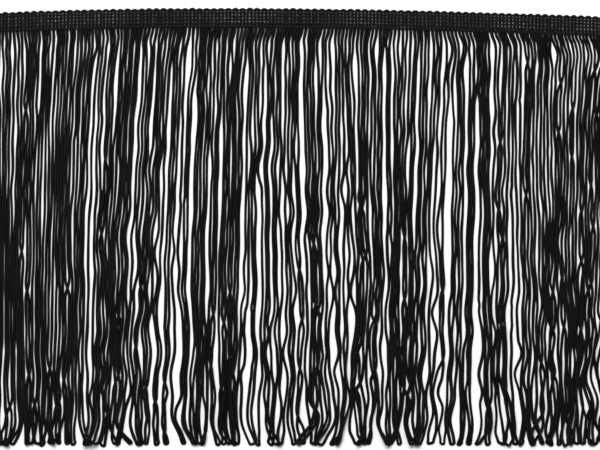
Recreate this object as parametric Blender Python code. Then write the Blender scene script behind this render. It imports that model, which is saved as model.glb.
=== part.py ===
# Chainette fringe, a cut length lying flat: a crocheted header tape with a scalloped edge, and a skirt of
# looped chainette cord. Metres, +Z up, with the origin under the middle of its box. +X runs along the
# header and the strands run to -Y.

import math
import random
from collections import namedtuple

import bmesh
import bpy

MM = 0.001

# Driving dimensions
LOOPS = 86
LOOP_PITCH = 5.0 * MM
HEADER_HEIGHT = 13.7 * MM
DROP = 289.0 * MM
CORD_WIDTH = 1.75 * MM
CORD_HEIGHT = 1.5 * MM
RIBS = 5
RIB_PITCH = 2.35 * MM
FIRST_RIB = 3.5 * MM
RIB_WIDTH = 1.4 * MM
RIB_TOP = 2.2 * MM
TAPE_THICKNESS = 1.5 * MM
SCALLOP_DEPTH = 1.3 * MM
SCALLOP_SHAPE = [(-0.5, 0.0), (-0.3, 0.75), (0.0, 1.0), (0.3, 0.75)]
SCALLOP_SEAM = 0.3 * MM
HEADER_SPANS = 22
ROOTS_PER_SPAN = 8
CLEARANCE = 0.3 * MM
CORDS_APART = 0.45 * MM

# Worked out from them
STRANDS = 2 * LOOPS
STRAND_PITCH = LOOP_PITCH / 2
LENGTH = LOOPS * LOOP_PITCH
LOWER_EDGE = -HEADER_HEIGHT
PARTING_LINE = -FIRST_RIB - (RIBS - 1.5) * RIB_PITCH
UPPER_LAYER = CORD_HEIGHT + CLEARANCE

# The header bows a little, highest left of the middle
BOW_CREST = -52.0 * MM
BOW_SQUARE = 0.109
BOW_CUBE = -0.087

# How the skirt falls
STRAIGHT_ROOT = 7.0 * MM
LEVELS = 9
SEED = 41
DRIFT = 0.5 * MM
DRIFT_GROWTH = 0.9 * MM
DRIFT_WAVES = 2
SHORTEST_WAVE = 90.0 * MM
LONGEST_WAVE = 160.0 * MM
CALM_LEFT = -105.0 * MM
CALM_FADE = 40.0 * MM
CALM_SHARE = 0.35
UNEVEN_ENDS = 1.2 * MM
LOOP_END_WIDTH = 3.2 * MM
PARTING_FADE = 20.0 * MM

# The open partings between the locks of cord, in millimetres: where the parting's line lies along the header
# at the roots, at half the drop and at the foot, how far down it starts and stops, and how wide it opens.
Parting = namedtuple("Parting", "root half foot start stop width")
PARTINGS = [
    Parting(-197, -202, -206, 215, 282, 3.0),
    Parting(-188, -192, -198, 215, 285, 2.4),
    Parting(-180, -185, -186, 5, 60, 1.8),
    Parting(-161, -167, -170, 174, 243, 1.8),
    Parting(-150, -158, -161, 70, 167, 1.6),
    Parting(-142, -148, -150, 14, 255, 2.6),
    Parting(-137, -141, -143, 56, 132, 1.6),
    Parting(-132, -138, -139, 5, 118, 2.2),
    Parting(-132, -138, -139, 250, 290, 3.2),
    Parting(-123, -130, -132, 15, 65, 1.8),
    Parting(-110, -119, -123, 7, 195, 2.2),
    Parting(-100, -108, -110, 3, 90, 1.8),
    Parting(-95, -104, -103, 195, 271, 2.2),
    Parting(-86, -94, -98, 21, 285, 2.4),
    Parting(-82, -90, -90, 202, 250, 2.0),
    Parting(-79, -85, -83, 195, 243, 1.8),
    Parting(-76, -82, -80, 7, 125, 1.6),
    Parting(-70, -76, -78, 42, 285, 2.8),
    Parting(-67, -73, -74, 215, 275, 3.2),
    Parting(-60, -65, -67, 83, 208, 1.8),
    Parting(-53, -57, -58, 63, 285, 2.1),
    Parting(-36, -41, -44, 21, 290, 1.6),
    Parting(-31, -36, -38, 188, 290, 2.8),
    Parting(-26, -29, -30, 104, 290, 3.8),
    Parting(-22, -24, -23, 21, 222, 1.8),
    Parting(-18, -21, -19, 56, 208, 1.6),
    Parting(0, 2, 2, 28, 181, 2.2),
    Parting(6, 6, 7, 139, 275, 2.6),
    Parting(11, 11, 12, 21, 104, 1.5),
    Parting(17, 16, 15, 49, 230, 2.2),
    Parting(38, 41, 41, 14, 118, 2.2),
    Parting(44, 45, 45, 230, 285, 2.0),
    Parting(48, 49, 51, 21, 181, 1.5),
    Parting(54, 54, 55, 205, 264, 2.2),
    Parting(59, 59, 60, 7, 146, 1.6),
    Parting(64, 64, 66, 7, 104, 1.5),
    Parting(70, 70, 73, 139, 222, 1.6),
    Parting(85, 80, 78, 14, 160, 2.3),
    Parting(88, 83, 81, 153, 222, 1.6),
    Parting(102, 98, 96, 35, 215, 3.0),
    Parting(107, 103, 100, 132, 285, 2.3),
    Parting(115, 114, 112, 14, 222, 1.8),
    Parting(124, 123, 121, 42, 290, 3.3),
    Parting(129, 127, 126, 76, 195, 1.8),
    Parting(132, 131, 130, 7, 63, 2.0),
    Parting(137, 136, 136, 250, 290, 3.0),
    Parting(144, 145, 144, 125, 257, 2.2),
    Parting(147, 149, 150, 104, 236, 1.6),
    Parting(150, 152, 154, 42, 174, 2.0),
    Parting(154, 156, 158, 21, 90, 1.8),
    Parting(163, 166, 168, 14, 195, 1.8),
    Parting(171, 174, 174, 28, 90, 1.4),
    Parting(171, 174, 174, 222, 268, 2.2),
    Parting(200, 202, 202, 208, 285, 2.0),
]


def bow(x):
    """How far the header's line lies above or below the X axis at x."""
    along = x - BOW_CREST
    crest = BOW_SQUARE * BOW_CREST**2 - BOW_CUBE * BOW_CREST**3
    return crest - (BOW_SQUARE * along**2 + BOW_CUBE * along**3)


def ease(share):
    """0 below 0 and 1 above 1, with a smooth rise between."""
    share = min(1.0, max(0.0, share))
    return share * share * (3 - 2 * share)


def root_places():
    return [(i - (STRANDS - 1) / 2) * STRAND_PITCH for i in range(STRANDS)]


def parting_line(parting, down):
    """Where a parting's line lies at a distance down below the header: a curve through its three places."""
    t = 2 * down / DROP
    root, half, foot = parting.root, parting.half, parting.foot
    return (root * (t - 1) * (t - 2) / 2 - half * t * (t - 2) + foot * t * (t - 1) / 2) * MM


def parting_opening(parting, down):
    """Half of how far a parting stands open there."""
    opened = ease((down / MM - parting.start) / (PARTING_FADE / MM) + 0.5)
    closed = ease((parting.stop - down / MM) / (PARTING_FADE / MM) + 0.5)
    return opened * closed * parting.width / 2 * MM


def locks_at(down):
    """The locks of strands there, each as its first strand, its count, and where its two sides lie."""
    walls = {0: (-LENGTH / 2, 0.0), STRANDS: (LENGTH / 2, 0.0)}
    for parting in PARTINGS:
        before = round(parting.root * MM / STRAND_PITCH + STRANDS / 2)
        opening = parting_opening(parting, down)
        if before in walls:
            opening = max(opening, walls[before][1])
        walls[before] = (parting_line(parting, down), opening)
    marks = sorted(walls)
    locks = []
    for first, after in zip(marks, marks[1:]):
        left = walls[first][0] + walls[first][1]
        right = walls[after][0] - walls[after][1]
        locks.append((first, after - first, left, right))
    return locks


def strand_drifts():
    """Each strand's slow waves, drawn in strand order: wave length, phase and share."""
    draw = random.Random(SEED)
    drifts = []
    for _ in range(STRANDS):
        waves = []
        for _ in range(DRIFT_WAVES):
            length = draw.uniform(SHORTEST_WAVE, LONGEST_WAVE)
            waves.append((length, draw.uniform(0, math.tau), draw.uniform(0.4, 1)))
        drifts.append(waves)
    return drifts


def drift(waves, root, down):
    calm = CALM_SHARE + (1 - CALM_SHARE) * ease((root - CALM_LEFT) / CALM_FADE + down / DROP)
    size = (DRIFT + DRIFT_GROWTH * down / DROP) * ease(down / (4 * STRAIGHT_ROOT)) * calm
    return size * sum(share * math.sin(math.tau * down / wave + phase) for wave, phase, share in waves)


def loop_drops():
    """How far each loop of cord reaches below the header, where the ends lie in a level line."""
    draw = random.Random(SEED + 1)
    return [DROP + draw.uniform(-UNEVEN_ENDS, UNEVEN_ENDS / 2) for _ in range(LOOPS)]


def spread_apart(places, least):
    """The nearest places to the given ones that keep their order and are at least that far apart."""
    pools = []
    for i, place in enumerate(places):
        pools.append([place - i * least, 1])
        while len(pools) > 1 and pools[-2][0] > pools[-1][0]:
            value, count = pools.pop()
            pools[-1][0] = (pools[-1][0] * pools[-1][1] + value * count) / (pools[-1][1] + count)
            pools[-1][1] += count
    levelled = [value for value, count in pools for _ in range(count)]
    return [value + i * least for i, value in enumerate(levelled)]


def places_at(down, roots, drifts):
    """Where every strand lies along X at a distance down below the header."""
    places = list(roots)
    settled = ease(down / STRAIGHT_ROOT - 1)
    for first, count, left, right in locks_at(down):
        for j in range(count):
            i = first + j
            even = left + (right - left) * (j + 0.5) / count
            free = even + drift(drifts[i], roots[i], down)
            kept = min(max(free, left + CORD_WIDTH / 2), right - CORD_WIDTH / 2)
            places[i] = roots[i] + (kept - roots[i]) * settled
    return places


def skirt_levels():
    """For each level below the header, how far down it is and where every strand lies along X."""
    roots = root_places()
    drifts = strand_drifts()
    levels = []
    for level in range(LEVELS):
        down = STRAIGHT_ROOT + (DROP - LOOP_END_WIDTH - STRAIGHT_ROOT) * level / (LEVELS - 1)
        places = places_at(down, roots, drifts)
        if level == LEVELS - 1:
            close_loop_ends(places)
        for layer in (0, 1):
            members = [i for i in range(STRANDS) if (i // 2) % 2 == layer]
            apart = spread_apart([places[i] for i in members], CORD_WIDTH + CORDS_APART)
            for i, place in zip(members, apart):
                places[i] = place
        levels.append((down, places))
    return levels


def close_loop_ends(places):
    """Brings the two strands of each loop together where they turn."""
    for left in range(0, STRANDS, 2):
        middle = (places[left] + places[left + 1]) / 2
        places[left] = middle - LOOP_END_WIDTH / 2
        places[left + 1] = middle + LOOP_END_WIDTH / 2


def finish(name, mesh, colour, roughness):
    """Puts a mesh in the scene as a named object with its own material."""
    bmesh.ops.recalc_face_normals(mesh, faces=mesh.faces[:])
    data = bpy.data.meshes.new(name)
    mesh.to_mesh(data)
    mesh.free()
    obj = bpy.data.objects.new(name, data)
    bpy.context.scene.collection.objects.link(obj)
    material = bpy.data.materials.new(name + "_cord")
    material.use_nodes = True
    surface = material.node_tree.nodes["Principled BSDF"]
    surface.inputs["Base Color"].default_value = (*colour, 1.0)
    surface.inputs["Roughness"].default_value = roughness
    surface.inputs["Metallic"].default_value = 0.0
    data.materials.append(material)
    return obj


def cord_ring(mesh, centre, heading, floor, apex=CORD_HEIGHT):
    """A cord's section: a corner on the floor to the left and the right of its heading, and one above."""
    x, y = centre
    right_x = math.sin(heading) * CORD_WIDTH / 2
    right_y = -math.cos(heading) * CORD_WIDTH / 2
    return [
        mesh.verts.new((x - right_x, y - right_y, floor)),
        mesh.verts.new((x + right_x, y + right_y, floor)),
        mesh.verts.new((x, y, floor + apex)),
    ]


def bridge(mesh, first, second):
    for a in range(len(first)):
        b = (a + 1) % len(first)
        mesh.faces.new((first[a], first[b], second[b], second[a]))


def headings(points):
    """The direction of travel at each point, as an angle in the XY plane."""
    found = []
    for i in range(len(points)):
        before = points[max(0, i - 1)]
        after = points[min(len(points) - 1, i + 1)]
        found.append(math.atan2(after[1] - before[1], after[0] - before[0]))
    found[0] = -math.pi / 2
    found[-1] = math.pi / 2
    return found


def loop_line(index, levels, drop):
    """A loop's middle line: down one strand, round its turn and up the next one."""
    sides = []
    for strand in (index, index + 1):
        root_y = LOWER_EDGE + bow((strand - (STRANDS - 1) / 2) * STRAND_PITCH)
        sides.append([(places[strand], root_y - down) for down, places in levels])
    radius = (sides[1][-1][0] - sides[0][-1][0]) / 2
    middle = sides[0][-1][0] + radius
    end_y = LOWER_EDGE - drop + radius
    sides[0][-1] = (middle - radius, end_y)
    sides[1][-1] = (middle + radius, end_y)
    turn = [(middle + side * radius / 2, end_y - radius * math.sqrt(3) / 2) for side in (-1, 1)]
    return sides[0] + turn + sides[1][::-1]


def add_loop(mesh, root_rings, index, levels, drop, floor):
    """One loop of cord from its first root to its second."""
    points = loop_line(index, levels, drop)
    rings = [cord_ring(mesh, point, angle, floor) for point, angle in zip(points, headings(points))]
    last = root_rings[index + 1]
    # The cord comes back up to its second root, where left and right change places.
    rings = [root_rings[index]] + rings + [[last[1], last[0], last[2]]]
    for before, after in zip(rings, rings[1:]):
        bridge(mesh, before, after)


def backing_strip(mesh):
    """The header's lowest rib as a bar, with a root for each strand in its lower side."""
    back, foot = PARTING_LINE - CLEARANCE / 2, LOWER_EDGE
    roots = root_places()
    root_rings = [cord_ring(mesh, (x, foot + bow(x)), -math.pi / 2, 0.0, RIB_TOP) for x in roots]
    spans = math.ceil(STRANDS / ROOTS_PER_SPAN)
    ends = [-LENGTH / 2 + min(span * ROOTS_PER_SPAN, STRANDS) * STRAND_PITCH for span in range(spans + 1)]
    behind = [[mesh.verts.new((x, back + bow(x), z)) for z in (0.0, RIB_TOP)] for x in ends]
    left = [mesh.verts.new((-LENGTH / 2, foot + bow(-LENGTH / 2), z)) for z in (0.0, RIB_TOP)]
    right = [mesh.verts.new((LENGTH / 2, foot + bow(LENGTH / 2), z)) for z in (0.0, RIB_TOP)]
    # The lower side, from one root to the next. A root's ring starts with its corner at the larger X.
    mesh.faces.new((left[0], root_rings[0][1], root_rings[0][2], left[1]))
    for before, after in zip(root_rings, root_rings[1:]):
        mesh.faces.new((before[0], after[1], after[2], before[2]))
    mesh.faces.new((root_rings[-1][0], right[0], right[1], root_rings[-1][2]))
    for span in range(spans):
        start = span * ROOTS_PER_SPAN
        lower = [left[0]] if span == 0 else [root_rings[start - 1][0]]
        upper = [left[1]] if span == 0 else [root_rings[start - 1][2]]
        for ring in root_rings[start : start + ROOTS_PER_SPAN]:
            lower += [ring[1], ring[0]]
            upper.append(ring[2])
        if span == spans - 1:
            lower.append(right[0])
            upper.append(right[1])
        mesh.faces.new(lower + [behind[span + 1][0], behind[span][0]])
        mesh.faces.new([behind[span][1], behind[span + 1][1]] + upper[::-1])
        mesh.faces.new((behind[span][0], behind[span + 1][0], behind[span + 1][1], behind[span][1]))
    mesh.faces.new((left[0], behind[0][0], behind[0][1], left[1]))
    mesh.faces.new((right[0], right[1], behind[-1][1], behind[-1][0]))
    return root_rings


def build_skirt():
    levels = skirt_levels()
    drops = loop_drops()
    mesh = bmesh.new()
    root_rings = backing_strip(mesh)
    for loop in range(LOOPS):
        floor = UPPER_LAYER if loop % 2 else 0.0
        add_loop(mesh, root_rings, 2 * loop, levels, drops[loop], floor)
    return finish("fringe_skirt", mesh, (0.012, 0.012, 0.013), 0.62)


def header_stations():
    """Places along the header between which its bow is drawn straight."""
    return [-LENGTH / 2 + LENGTH * i / HEADER_SPANS for i in range(HEADER_SPANS + 1)]


def header_profile():
    """The tape's section across its ribs as (how far below the scallops' tips, height), from above round."""
    start = SCALLOP_DEPTH + SCALLOP_SEAM
    profile = [(start, 0.0), (start, TAPE_THICKNESS)]
    for rib in range(RIBS - 1):
        line = FIRST_RIB + rib * RIB_PITCH
        profile.append((line - RIB_WIDTH / 2, TAPE_THICKNESS))
        profile.append((line - RIB_WIDTH / 4, RIB_TOP))
        profile.append((line + RIB_WIDTH / 4, RIB_TOP))
        profile.append((line + RIB_WIDTH / 2, TAPE_THICKNESS))
    end = -PARTING_LINE - CLEARANCE / 2
    return profile + [(end, TAPE_THICKNESS), (end, 0.0)]


def scallop_line():
    """The upper edge: a round scallop over every second pair of strands' roots, level at the cut ends."""
    line = [(-LENGTH / 2, 0.0)]
    for loop in range(1, LOOPS):
        line += [(-LENGTH / 2 + (loop + share) * LOOP_PITCH, rise) for share, rise in SCALLOP_SHAPE]
    line += [(LENGTH / 2 - LOOP_PITCH / 2, 0.0), (LENGTH / 2, 0.0)]
    return [(x, bow(x) - SCALLOP_DEPTH * (1 - rise)) for x, rise in line]


def build_header():
    mesh = bmesh.new()
    profile = header_profile()
    rings = []
    for x in header_stations():
        rings.append([mesh.verts.new((x, bow(x) - below, z)) for below, z in profile])
    for before, after in zip(rings, rings[1:]):
        for a in range(1, len(profile) - 1):
            mesh.faces.new((before[a], before[a + 1], after[a + 1], after[a]))
        mesh.faces.new((before[-1], before[0], after[0], after[-1]))
    mesh.faces.new(rings[0])
    mesh.faces.new(rings[-1][::-1])
    edge = [[mesh.verts.new((x, y, z)) for z in (0.0, TAPE_THICKNESS)] for x, y in scallop_line()]
    mesh.faces.new([pair[0] for pair in edge] + [ring[0] for ring in rings[::-1]])
    mesh.faces.new([pair[1] for pair in edge[::-1]] + [ring[1] for ring in rings])
    for before, after in zip(edge, edge[1:]):
        mesh.faces.new((before[0], before[1], after[1], after[0]))
    mesh.faces.new((edge[0][0], rings[0][0], rings[0][1], edge[0][1]))
    mesh.faces.new((edge[-1][0], edge[-1][1], rings[-1][1], rings[-1][0]))
    return finish("header_tape", mesh, (0.014, 0.014, 0.015), 0.7)


def centre_on_origin(objects):
    """Moves the meshes so that the middle of their common box lies over the origin."""
    corners = [vert.co for obj in objects for vert in obj.data.vertices]
    for axis in (0, 1):
        middle = (min(co[axis] for co in corners) + max(co[axis] for co in corners)) / 2
        for co in corners:
            co[axis] -= middle


for existing in list(bpy.data.objects):
    bpy.data.objects.remove(existing)
header = build_header()
skirt = build_skirt()
centre_on_origin([header, skirt])
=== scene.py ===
# Chainette fringe laid flat: a crocheted header over a skirt of looped black cord.
# Metres, Z up. The header runs along X and the strands run down towards -Y.
import math
import random
from collections import namedtuple

import bpy
import numpy as np
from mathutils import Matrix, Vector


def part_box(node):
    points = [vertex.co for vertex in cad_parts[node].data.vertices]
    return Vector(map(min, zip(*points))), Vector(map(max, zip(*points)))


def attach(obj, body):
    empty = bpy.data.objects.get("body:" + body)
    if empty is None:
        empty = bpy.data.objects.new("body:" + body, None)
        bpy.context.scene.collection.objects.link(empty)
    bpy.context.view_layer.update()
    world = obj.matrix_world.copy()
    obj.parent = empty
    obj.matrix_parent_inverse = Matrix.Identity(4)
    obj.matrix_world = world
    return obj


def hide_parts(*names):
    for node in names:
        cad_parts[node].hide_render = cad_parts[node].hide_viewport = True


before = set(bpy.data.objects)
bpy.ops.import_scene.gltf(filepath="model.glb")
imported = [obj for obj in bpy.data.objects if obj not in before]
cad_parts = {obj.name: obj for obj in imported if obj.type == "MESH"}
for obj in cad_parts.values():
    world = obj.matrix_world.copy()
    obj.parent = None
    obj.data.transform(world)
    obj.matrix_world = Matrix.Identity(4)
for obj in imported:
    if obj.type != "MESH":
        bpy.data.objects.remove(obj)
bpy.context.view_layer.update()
mm = 0.001

# the camera looks straight down on the fringe
view = {
    "height": 2.0,
    "widthSeen": 417 * mm,        # what the picture's 600 pixels span at the fringe
    "centreY": 1.15 * mm,
    "sensor": 36.0,
    "nearClip": 0.05,
}
cameraData = bpy.data.cameras.new("cameraAbove")
cameraData.sensor_width = view["sensor"]
cameraData.lens = view["sensor"] * view["height"] / view["widthSeen"]
cameraData.clip_start = view["nearClip"]
camera = bpy.data.objects.new("cameraAbove", cameraData)
camera.location = (0, view["centreY"], view["height"])
bpy.context.scene.collection.objects.link(camera)
bpy.context.scene.camera = camera
bpy.context.scene.view_settings.view_transform = "Standard"

# soft studio light: a pale room, and one big lamp a little beyond the header
studio = {
    "roomLight": 0.3,
    "roomTint": (1.0, 1.0, 1.0),
    "lampPower": 74.0,
    "lampSize": 1.25,
    "lampPlace": (-0.35, 1.15, 2.3),
    "floorSize": 6.0,
    "floorColour": (0.9, 0.9, 0.9),
    "floorRoughness": 0.85,
    "floorSpecular": 0.1,
    "floorDrop": 0.05 * mm,       # the floor lies this far below the fringe
}


def buildStudio():
    world = bpy.data.worlds.new("paleRoom")
    bpy.context.scene.world = world
    world.use_nodes = True
    sky = world.node_tree.nodes["Background"]
    sky.inputs["Color"].default_value = (*studio["roomTint"], 1)
    sky.inputs["Strength"].default_value = studio["roomLight"]
    lampData = bpy.data.lights.new("bigSoftLamp", "AREA")
    lampData.shape = "SQUARE"
    lampData.size = studio["lampSize"]
    lampData.energy = studio["lampPower"]
    lamp = bpy.data.objects.new("bigSoftLamp", lampData)
    lamp.location = studio["lampPlace"]
    aim = -lamp.location.normalized()
    lamp.rotation_euler = aim.to_track_quat("-Z", "Y").to_euler()
    bpy.context.scene.collection.objects.link(lamp)
    bpy.ops.object.select_all(action="DESELECT")
    bpy.ops.mesh.primitive_plane_add(size=studio["floorSize"], location=(0, 0, -studio["floorDrop"]))
    floor = bpy.context.object
    floor.name = "floorSheet"
    bpy.ops.object.transform_apply(location=True, rotation=True, scale=True)
    paper = bpy.data.materials.new("palePaper")
    paper.use_nodes = True
    surface = paper.node_tree.nodes["Principled BSDF"]
    surface.inputs["Base Color"].default_value = (*studio["floorColour"], 1)
    surface.inputs["Roughness"].default_value = studio["floorRoughness"]
    surface.inputs["Specular IOR Level"].default_value = studio["floorSpecular"]
    floor.data.materials.append(paper)


buildStudio()
print("camera, room and floor are set up")

# materials
blackCord = {
    "colour": (0.0012, 0.0012, 0.0013),
    # the lighter tone: slow tone and lint, with painted sheen on the stitch crowns and the cord's top
    "toneAndSheen": (0.0165, 0.0162, 0.0162),
    "roughness": 0.5,
    "specular": 0.02,
    "wales": 5.0,                 # columns of stitches round the cord
    "stitch": 1.25,               # mm from one stitch to the next
    "stitchLean": 0.9,            # how much of a V the stitches make
    "bump": 0.55,                 # how strongly they stand out
    "bumpDistance": 0.16 * mm,
    "toneScale": 90.0,
    "lintScale": 1400.0,
    "lint": 0.3,
}
blackThread = {
    "colour": (0.003, 0.003, 0.0032),
    # the lighter tone: slow tone and lint, with painted sheen on the stitch crowns and the cord's top
    "toneAndSheen": (0.012, 0.012, 0.0125),
    "roughness": 0.4,
    "specular": 0.2,
    "wales": 2.0,
    "stitch": 0.7,
    "stitchLean": 1.4,
    "bump": 0.55,
    "bumpDistance": 0.08 * mm,
    "toneScale": 160.0,
    "lintScale": 1400.0,
    "lint": 0.4,
}
# how stitches, slow tone and lint, the painted sheen on stitch crowns and the painted shade on the cords'
# sides and undersides are drawn, the same for both
knit = {
    "ridgeSlope": 1.6,            # how much lower a stitch lies at its column's edge
    "crownPower": 1.6,            # the higher, the narrower the painted sheen on a stitch's crown
    "shadedUnderside": 0.08,            # the share of the lighter tone kept on the cord's sides and underside, which stay dark as painted shade
    "crownShare": 0.45,           # how much of it the crowns take, as painted sheen
    "toneShare": 0.6,             # and how much comes and goes slowly
    "toneStretch": 0.25,          # below 1, slow tones run on along the cords
    "toneDetail": 2.0,
    "lintDetail": 1.0,
    "lintFrom": 0.58,             # the part of the fine noise that shows as lint
    "lintTo": 0.8,
}


def addNode(tree, kind, links=(), **values):
    # a node with its settings, and its sockets fed or set
    node = tree.nodes.new(kind)
    for key, value in values.items():
        setattr(node, key, value)
    for socket, source in dict(links).items():
        if isinstance(source, bpy.types.NodeSocket):
            tree.links.new(source, node.inputs[socket])
        else:
            node.inputs[socket].default_value = source
    return node


def maths(tree, operation, first, second=0.0, third=0.0):
    links = {0: first, 1: second, 2: third}
    return addNode(tree, "ShaderNodeMath", links, operation=operation).outputs[0]


def buildKnitGroup():
    # stitches that lean in a V on each column, from a map that runs round and along the cord
    group = bpy.data.node_groups.new("knitStitches", "ShaderNodeTree")
    group.interface.new_socket(name="Along", in_out="INPUT", socket_type="NodeSocketVector")
    for name in ("Columns", "Pitch", "Lean"):
        group.interface.new_socket(name=name, in_out="INPUT", socket_type="NodeSocketFloat")
    for name in ("Height", "CrownSheen", "Back"):
        group.interface.new_socket(name=name, in_out="OUTPUT", socket_type="NodeSocketFloat")
    inside = group.nodes.new("NodeGroupInput")
    outside = group.nodes.new("NodeGroupOutput")
    parts = addNode(group, "ShaderNodeSeparateXYZ", {0: inside.outputs["Along"]})
    column = maths(group, "FRACT", maths(group, "MULTIPLY", parts.outputs["X"], inside.outputs["Columns"]))
    fromMiddle = maths(group, "ABSOLUTE", maths(group, "SUBTRACT", column, 0.5))
    along = maths(group, "DIVIDE", parts.outputs["Y"], inside.outputs["Pitch"])
    leant = maths(group, "MULTIPLY_ADD", fromMiddle, inside.outputs["Lean"], along)
    wave = maths(group, "COSINE", maths(group, "MULTIPLY", leant, math.tau))
    stitchTop = maths(group, "MULTIPLY_ADD", wave, 0.5, 0.5)
    ridge = maths(group, "SUBTRACT", 1.0, maths(group, "MULTIPLY", fromMiddle, knit["ridgeSlope"]))
    height = maths(group, "MULTIPLY", stitchTop, ridge)
    group.links.new(height, outside.inputs["Height"])
    # painted sheen: the stitch crowns take the lighter tone, their hollows stay dark
    crownSheen = maths(group, "POWER", height, knit["crownPower"])
    group.links.new(crownSheen, outside.inputs["CrownSheen"])
    # painted shade: the lighter tone is kept to the top of the cord, and its sides and underside stay dark
    facing = maths(group, "SINE", maths(group, "MULTIPLY", parts.outputs["X"], math.tau))
    back = addNode(group, "ShaderNodeMapRange", {"Value": facing, "To Min": knit["shadedUnderside"]})
    group.links.new(back.outputs[0], outside.inputs["Back"])
    return group


def buildLintGroup():
    # slow changes of tone from cord to cord and along it, with finer specks of lint
    group = bpy.data.node_groups.new("toneAndLint", "ShaderNodeTree")
    for name in ("Slow", "Fine", "Specks"):
        group.interface.new_socket(name=name, in_out="INPUT", socket_type="NodeSocketFloat")
    for name in ("Tone", "Lint"):
        group.interface.new_socket(name=name, in_out="OUTPUT", socket_type="NodeSocketFloat")
    inside = group.nodes.new("NodeGroupInput")
    outside = group.nodes.new("NodeGroupOutput")
    place = group.nodes.new("ShaderNodeTexCoord").outputs["Object"]
    stretch = (1.0, knit["toneStretch"], 1.0)
    squeezed = addNode(group, "ShaderNodeMapping", {"Vector": place, "Scale": stretch})
    noise = {"Vector": squeezed.outputs[0], "Scale": inside.outputs["Slow"]}
    slow = addNode(group, "ShaderNodeTexNoise", {**noise, "Detail": knit["toneDetail"]})
    noise = {"Vector": place, "Scale": inside.outputs["Fine"]}
    fine = addNode(group, "ShaderNodeTexNoise", {**noise, "Detail": knit["lintDetail"]})
    ranges = {"Value": fine.outputs[0], "From Min": knit["lintFrom"], "From Max": knit["lintTo"]}
    lint = addNode(group, "ShaderNodeMapRange", {**ranges, "To Max": inside.outputs["Specks"]})
    group.links.new(slow.outputs[0], outside.inputs["Tone"])
    group.links.new(lint.outputs[0], outside.inputs["Lint"])
    return group


knitGroup = buildKnitGroup()
lintGroup = buildLintGroup()


def yarnMaterial(name, finish):
    material = bpy.data.materials.new(name)
    material.use_nodes = True
    tree = material.node_tree
    surface = tree.nodes["Principled BSDF"]
    surface.inputs["Roughness"].default_value = finish["roughness"]
    surface.inputs["Specular IOR Level"].default_value = finish["specular"]
    cordMap = addNode(tree, "ShaderNodeUVMap", uv_map="cordMap")
    stitches = addNode(tree, "ShaderNodeGroup", node_tree=knitGroup)
    tree.links.new(cordMap.outputs[0], stitches.inputs["Along"])
    stitches.inputs["Columns"].default_value = finish["wales"]
    stitches.inputs["Pitch"].default_value = finish["stitch"]
    stitches.inputs["Lean"].default_value = finish["stitchLean"]
    tones = addNode(tree, "ShaderNodeGroup", node_tree=lintGroup)
    tones.inputs["Slow"].default_value = finish["toneScale"]
    tones.inputs["Fine"].default_value = finish["lintScale"]
    tones.inputs["Specks"].default_value = finish["lint"]
    # the lighter tone comes with slow tone, lint and painted sheen on the stitch crowns, and is kept off the
    # cord's sides and underside as painted shade
    tone = maths(tree, "MULTIPLY", tones.outputs["Tone"], knit["toneShare"])
    blend = maths(tree, "MULTIPLY_ADD", stitches.outputs["CrownSheen"], knit["crownShare"], tone)
    toneAndSheen = maths(tree, "ADD", blend, tones.outputs["Lint"])
    share = maths(tree, "MULTIPLY", toneAndSheen, stitches.outputs["Back"])
    colours = addNode(tree, "ShaderNodeMix", data_type="RGBA", clamp_factor=True)
    tree.links.new(share, colours.inputs["Factor"])
    for letter, value in (("A", finish["colour"]), ("B", finish["toneAndSheen"])):
        socket = [entry for entry in colours.inputs if entry.name == letter and entry.type == "RGBA"][0]
        socket.default_value = (*value, 1)
    colourOut = [entry for entry in colours.outputs if entry.type == "RGBA"][0]
    tree.links.new(colourOut, surface.inputs["Base Color"])
    bump = addNode(tree, "ShaderNodeBump", {"Height": stitches.outputs["Height"]})
    bump.inputs["Strength"].default_value = finish["bump"]
    bump.inputs["Distance"].default_value = finish["bumpDistance"]
    tree.links.new(bump.outputs[0], surface.inputs["Normal"])
    return material


cordMaterial = yarnMaterial("blackChainette", blackCord)
threadMaterial = yarnMaterial("blackBindingThread", blackThread)
print("materials are built")


# cords of every kind are tubes along lines of points, made from arrays
def turnedRings(points, wide, high, sides, closed):
    # oval rings across each line, kept level
    if closed:
        travel = np.roll(points, -1, axis=1) - np.roll(points, 1, axis=1)
    else:
        travel = np.gradient(points, axis=1)
    travel /= np.linalg.norm(travel, axis=2, keepdims=True)
    side = np.stack([travel[..., 1], -travel[..., 0], np.zeros_like(travel[..., 0])], axis=2)
    side /= np.linalg.norm(side, axis=2, keepdims=True)
    up = np.cross(side, travel)
    angle = math.tau * np.arange(sides) / sides
    across = side[:, :, None, :] * (np.cos(angle)[None, None, :, None] * wide[:, :, None, None] / 2)
    above = up[:, :, None, :] * (np.sin(angle)[None, None, :, None] * high[:, :, None, None] / 2)
    return points[:, :, None, :] + across + above


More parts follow.
